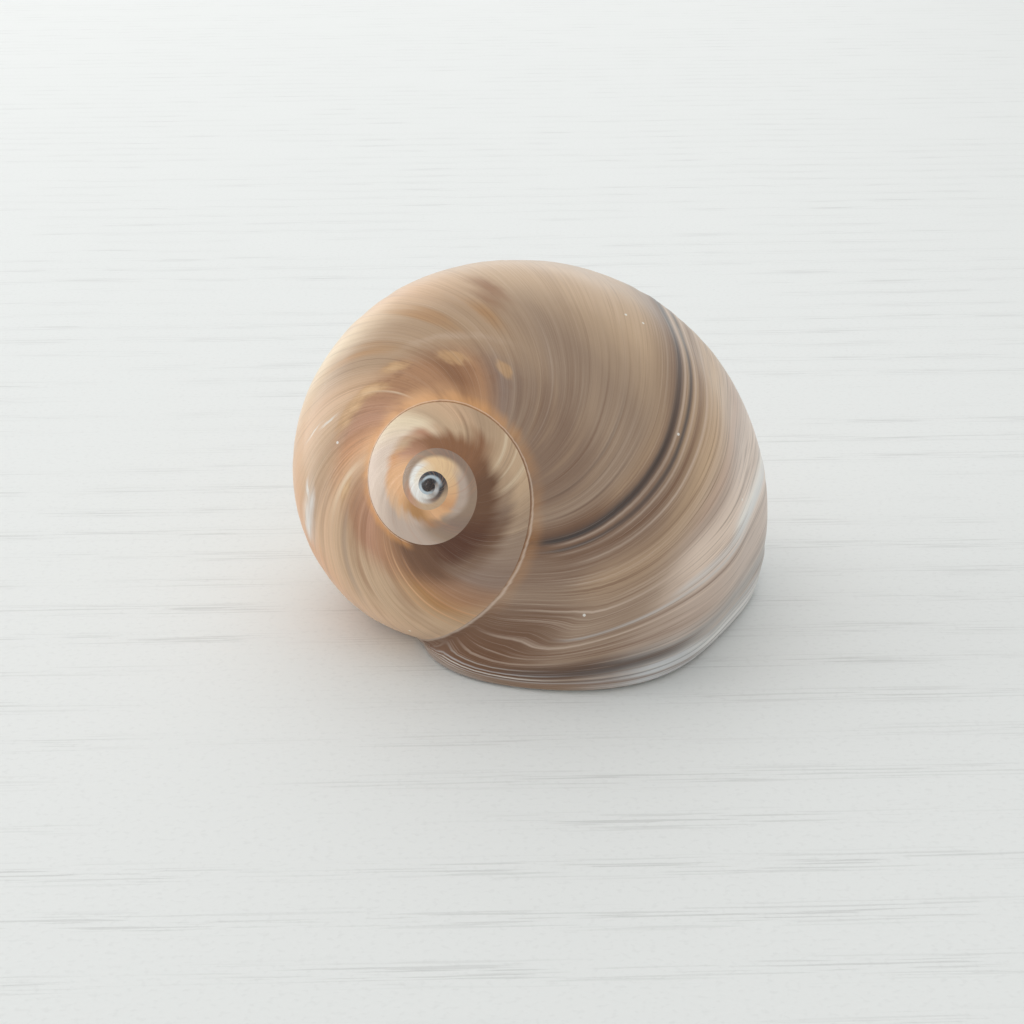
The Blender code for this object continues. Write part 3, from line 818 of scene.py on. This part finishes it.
def shellMaterial():
    # bands by age and distance from the suture, then patches, spots, stripes, lines, suture and callus
    s = Shader(bpy.data.materials.new("moon snail shell"))
    age, across = s.parts(s.node("ShaderNodeUVMap", {"uv_map": "growth"}, {}), 0, 1)
    callus, inside = s.parts(s.node("ShaderNodeUVMap", {"uv_map": "zone"}, {}), 0, 1)
    place = s.node("ShaderNodeTexCoord", {}, {}, "Object")
    veil = {name: s.noise(age * along, across * over, detail, roughness, offset)
            for name, (along, over, detail, roughness, offset) in veils.items()}

    def part(value, name):     # smooth step over a named range
        return s.between(value, *ranges[name])

    def hump(value, name):     # named hump
        return s.bump(value, *humps[name])

    def stray(noise, reach):     # how far a noise carries a border, half of the reach to each side
        return (veil[noise] - 0.5) * reach

    def paint(colour, name, mask):     # named layer laid over the colour
        tone, strength = paints[name]
        return s.mix(colour, tones[tone], mask * strength)

    # three rows of bands on each of the last whorl, the spire and its tip, with wandering borders
    bent = age + stray("drift", skin["bandWander"])
    row = across + stray("cloud", skin["rowWander"])
    stroke = across + stray("brush", skin["strokeWander"])
    colour = s.mix(s.ramp(bent, bands["shoulder"]), s.ramp(bent, bands["flank"]), part(row, "flank"))
    colour = s.mix(colour, s.ramp(bent, bands["low"]), part(row, "low"))
    # the inner rows of spire and tip carry painted shade along their inner sutures, as well as their own
    # dark tones
    spire = s.ramp(bent, bands["spireInner"])
    tip = s.ramp(age, bands["tipInner"])
    for name in ("Middle", "Outer"):
        spire = s.mix(spire, s.ramp(bent, bands["spire" + name]), part(stroke, "spire" + name))
        tip = s.mix(tip, s.ramp(age, bands["tip" + name]), part(across, "tip" + name))
    spire = s.mix(tip, spire, part(age, "spire"))
    colour = s.mix(spire, colour, part(age, "body"))

    # mottling and pale patches of the shoulder, then the single spots and stripes
    blot = veil["blot"]
    patch = 0.0
    for centre, half, low, high in patches:
        patch = s.bump(age, centre, half) * s.bump(across, low, high) + patch
    edge = patch * skin["patchWeight"] + stray("blot", skin["patchNoise"])
    near = part(patch, "patchNear")
    murk = hump(across, "murkAcross") * hump(age, "murkAge") * part(blot, "murk")
    colour = paint(colour, "murk", murk)
    colour = paint(colour, "patch", part(edge, "patchEdge") * near)
    colour = paint(colour, "patchCore", part(edge, "patchCore") * near * part(age, "coreAge"))
    stain = hump(age, "stainAge") * hump(across, "stainAcross") * part(veil["brush"], "stain")
    colour = paint(colour, "stain", stain)
    spotAge = age + stray("blot", skin["spotWander"][0])
    spotAcross = across + stray("blot", skin["spotWander"][1])
    # the umber spot among these is partly painted shade by the spire's inner suture
    for tone, centre, half, low, high, strength in spots:
        shape = s.bump(spotAge, centre, half) * s.bump(spotAcross, low, high)
        colour = s.mix(colour, tones[tone], shape * strength)
    ragged = age + stray("lines", skin["stripeWander"][0]) + stray("drift", skin["stripeWander"][1])
    top, bottom = skin["stripeTop"], skin["stripeBottom"]
    # the white and pearl stripes by the lip and on the right-hand edge are partly painted sheen
    for tone, centre, half, low, high, strength in stripes:
        shape = s.bump(ragged, centre, half) * s.between(across, low + top[0], low + top[1])
        shape = shape * s.between(across, high + bottom[0], high + bottom[1])
        colour = s.mix(colour, tones[tone], shape * strength)

    # fine growth lines, most of all near the lip and least on the spire
    youth = skin["oldLines"] + (1 - skin["oldLines"]) * part(age, "youth")
    reach = {"tall": youth * part(age, "tall"), "spire": part(age, "spireAge"), "early": hump(age, "early"),
             "fan": part(across, "fanAcross") * hump(age, "fanAge")}
    for tone, noise, start, full, where, strength in fineLines:
        colour = s.mix(colour, tones[tone], s.between(veil[noise], start, full) * reach[where] * strength)

    # the suture: orange outside it, then a pale thread, a brown edge and chips by the lip
    pastSpire = part(age, "pastSpire")
    spread = across + stray("brush", skin["glowWander"])
    amount = skin["glowLate"] * part(age, "glowLate") + skin["glowEarly"] * part(age, "glowEarly")
    glow = part(spread, "glow") * pastSpire * amount
    colour = paint(colour, "glow", glow * part(veil["cloud"], "glowCloud"))
    wide = part(spread, "wideGlow") * hump(age, "wideGlow")
    colour = paint(colour, "wideGlow", wide * part(veil["cloud"], "wideCloud"))
    seam = across + stray("blot", skin["seamWander"])
    colour = paint(colour, "thread", hump(seam, "thread") * pastSpire)
    colour = paint(colour, "seam", part(seam, "seam") * pastSpire)
    colour = paint(colour, "chip", hump(across, "chip") * part(age, "chipAge") * part(blot, "chip"))

    # a few white specks
    speck = s.node("ShaderNodeTexVoronoi", {}, {"Vector": place, "Scale": skin["speckScale"]})
    colour = paint(colour, "speck", part(speck, "speck") * part(veil["chance"], "speckChance"))

    # the side turned down, the callus, and the inside
    under = part(across, "underAcross") * part(age, "underAge")
    colour = paint(colour, "under", under)
    colour = paint(colour, "underBrush", part(veil["brush"], "underBrush") * under)
    mist = s.node("ShaderNodeTexNoise", {},
                  {"Vector": place, "Scale": skin["mistScale"], "Detail": skin["mistDetail"],
                   "Roughness": skin["mistRoughness"]})
    pad = s.mix(tones["fawn"], tones["petal"], part(mist, "padPale"))
    pad = paint(pad, "padDark", part(mist, "padDark"))
    colour = s.mix(colour, pad, part(callus, "callus") * skin["padStrength"])
    deep = paint(s.ramp(age, deepTones), "deepRose", part(mist, "deepRose"))
    colour = s.mix(colour, deep, part(inside, "inside"))

    height = veil["lines"] * skin["lineShare"] + veil["hair"] * (1 - skin["lineShare"])
    height = height * (1 - inside)
    normal = s.node("ShaderNodeBump", {},
                    {"Strength": skin["bump"], "Distance": skin["bumpDepth"], "Height": height})
    gloss = skin["gloss"] + stray("streaks", skin["glossChange"]) - callus * skin["callusGloss"]
    return s.finish("Principled BSDF", Base_Color=colour, Roughness=gloss, Normal=normal,
                    Coat_Weight=skin["coat"], Coat_Roughness=skin["coatGloss"])


shell = buildShell()
shell.data.materials.append(shellMaterial())
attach(shell, "root")
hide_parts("shell")
print("shell made:", len(shell.data.polygons), "faces")

# the table: its tones, and its grain as noises with cells per metre along and across
table = {
    "size": 3.0, "height": -0.0001, "tone": rgb(235, 237, 236), "line": rgb(206, 207, 206),
    "tilt": 0.02, "sway": 0.004, "swayCells": 12.0, "bundles": 150.0, "bundle": (0.5, 0.34),
    "grainCells": (60.0, 3400.0), "grain": (0.54, 0.62), "patchCells": (20.0, 60.0),
    "patch": (0.36, 0.56), "roughCells": (1300.0, 1900.0), "rough": (0.52, 0.75),
    "lineStrength": 0.60, "roughStrength": 0.16,
    "bump": 0.3, "bumpDepth": 0.0002, "roughHeight": 0.4, "gloss": 0.55,
}


def makeTable():
    # one square, with faint long grain in its material
    half = table["size"] / 2
    corners = [(x * half, y * half, table["height"]) for x, y in ((-1, -1), (1, -1), (1, 1), (-1, 1))]
    mesh = bpy.data.meshes.new("table")
    mesh.from_pydata(corners, [], [(0, 1, 2, 3)])
    piece = bpy.data.objects.new("table", mesh)
    bpy.context.scene.collection.objects.link(piece)
    s = Shader(bpy.data.materials.new("pale table"))
    x, y = s.parts(s.node("ShaderNodeTexCoord", {}, {}, "Object"), 0, 1)
    slope = y - x * table["tilt"]
    sway = s.noise(x * table["swayCells"], y * table["swayCells"], 1.0, 0.5)
    count = (slope + sway * table["sway"]) * table["bundles"]
    bundle = s.bump(count.math("FRACT", count), *table["bundle"])
    along, over = table["grainCells"]
    grain = s.between(s.noise(x * along, slope * over, 2.0, 0.5), *table["grain"])
    along, over = table["patchCells"]
    mark = grain * bundle * s.between(s.noise(x * along, y * over, 2.0, 0.5, 3.0), *table["patch"])
    along, over = table["roughCells"]
    rough = s.noise(x * along, y * over, 1.0, 0.6, 6.0)
    tone = s.mix(table["tone"], table["line"], mark * table["lineStrength"])
    tone = s.mix(tone, table["line"], s.between(rough, *table["rough"]) * table["roughStrength"])
    height = rough * table["roughHeight"] - mark
    normal = s.node("ShaderNodeBump", {},
                    {"Strength": table["bump"], "Distance": table["bumpDepth"], "Height": height})
    finish = s.finish("Principled BSDF", Base_Color=tone, Roughness=table["gloss"], Normal=normal)
    piece.data.materials.append(finish)
    return piece


makeTable()
print("table made")

# a big soft window behind and to the left, and a room that is dimmer towards the viewer
light = {
    "keyPlace": (-0.28, 0.80, 0.82), "keySize": 2.0, "keyPower": 6.8,
    "sidePlace": (-0.9, 0.15, 0.22), "sideSize": 0.6, "sidePower": 2.6,
    "roomTone": (0.98, 0.99, 0.98, 1.0), "roomBack": 0.76, "roomFront": 0.635, "roomSpread": 0.7,
}


def makeLights():
    # the room's brightness goes from front to back by a smooth step over the direction's y
    s = Shader(bpy.data.worlds.new("room"))
    forward, = s.parts(s.node("ShaderNodeTexCoord", {}, {}, "Generated"), 1)
    backward = s.between(forward, -light["roomSpread"], light["roomSpread"])
    strength = light["roomFront"] + (light["roomBack"] - light["roomFront"]) * backward
    scene = bpy.context.scene
    scene.world = s.finish("Background", Color=light["roomTone"], Strength=strength)
    for name in ("key", "side"):
        lamp = bpy.data.lights.new(name, "AREA")
        lamp.size = light[name + "Size"]
        lamp.energy = light[name + "Power"]
        piece = bpy.data.objects.new(name, lamp)
        piece.location = light[name + "Place"]
        piece.rotation_euler = (-Vector(light[name + "Place"])).to_track_quat("-Z", "Y").to_euler()
        scene.collection.objects.link(piece)
    scene.view_settings.view_transform = "Standard"


makeLights()

# where the camera is and how it is turned, fitted to the photograph's view
view = {
    "place": (-0.002486, -0.150158, 0.093652),
    "right": (1.0, 0.0, -0.0068),
    "up": (0.0059, 0.4847, 0.8747),
    "back": (0.0033, -0.8747, 0.4847),
    "lens": 47.3,
    "sensor": 36.0,
    "near": 0.005,
}


def makeCamera():
    # its matrix has the three directions above as columns
    data = bpy.data.cameras.new("camera")
    data.lens = view["lens"]
    data.sensor_width = view["sensor"]
    data.clip_start = view["near"]
    piece = bpy.data.objects.new("camera", data)
    turned = Matrix([view["right"], view["up"], view["back"]]).transposed()
    piece.matrix_world = Matrix.Translation(view["place"]) @ turned.to_4x4()
    bpy.context.scene.collection.objects.link(piece)
    bpy.context.scene.camera = piece


makeCamera()
print("lights and camera set")
